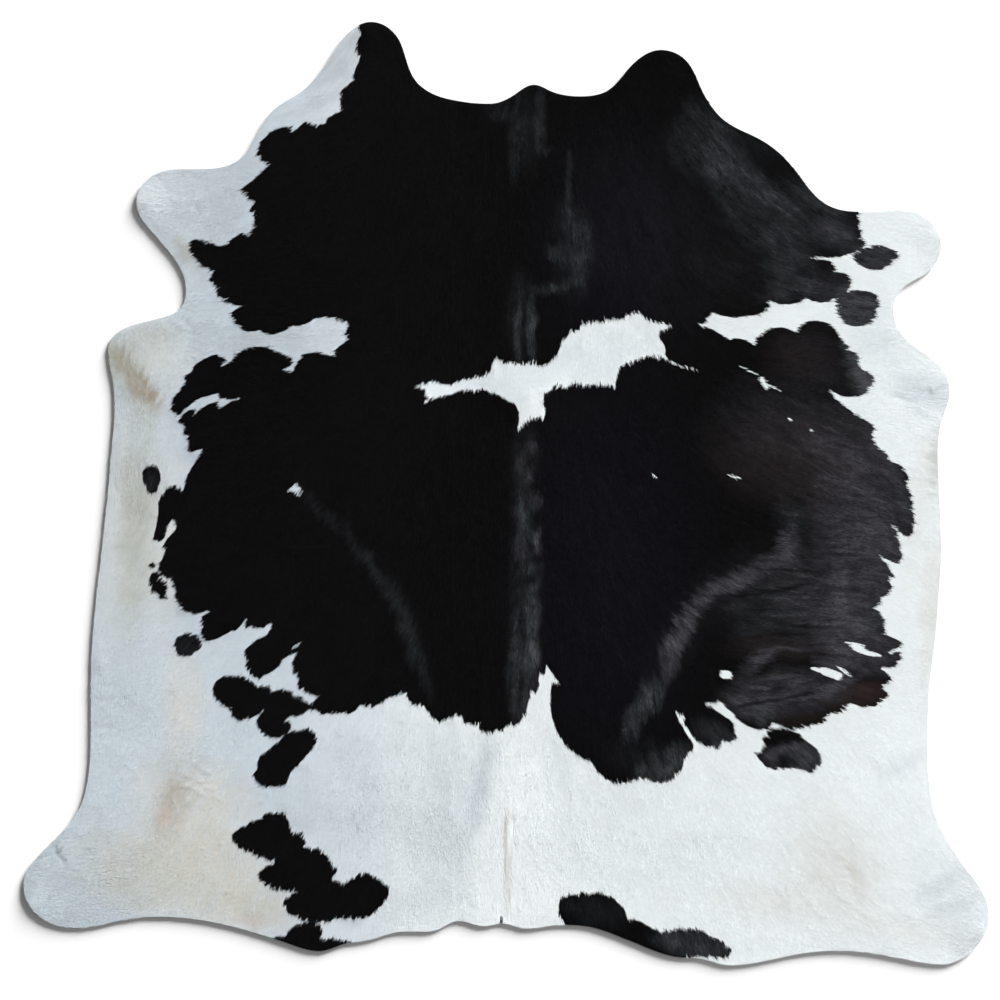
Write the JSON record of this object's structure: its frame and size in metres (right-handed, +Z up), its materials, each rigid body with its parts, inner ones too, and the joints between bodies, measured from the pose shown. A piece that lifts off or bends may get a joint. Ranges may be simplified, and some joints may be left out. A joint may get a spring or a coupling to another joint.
{
  "type": "cowhide rug",
  "caption": "Whole natural-shaped cowhide rug with a short black and white coat, lying flat on the floor.",
  "frame": {"origin": "on the floor, under the middle of the hide's bounding box seen from above", "axes": "+Z up out of the coat, +Y towards the neck, -Y towards the tail, +X to the right with the neck away from the viewer"},
  "size_m": [2.2199, 2.1688, 0.0094],
  "materials": {
    "coat_white": "matte",
    "coat_black": "satin",
    "skin_back": "matte"
  },
  "bodies": {
    "root": {"hide": "coat_white"}
  },
  "joints": []
}
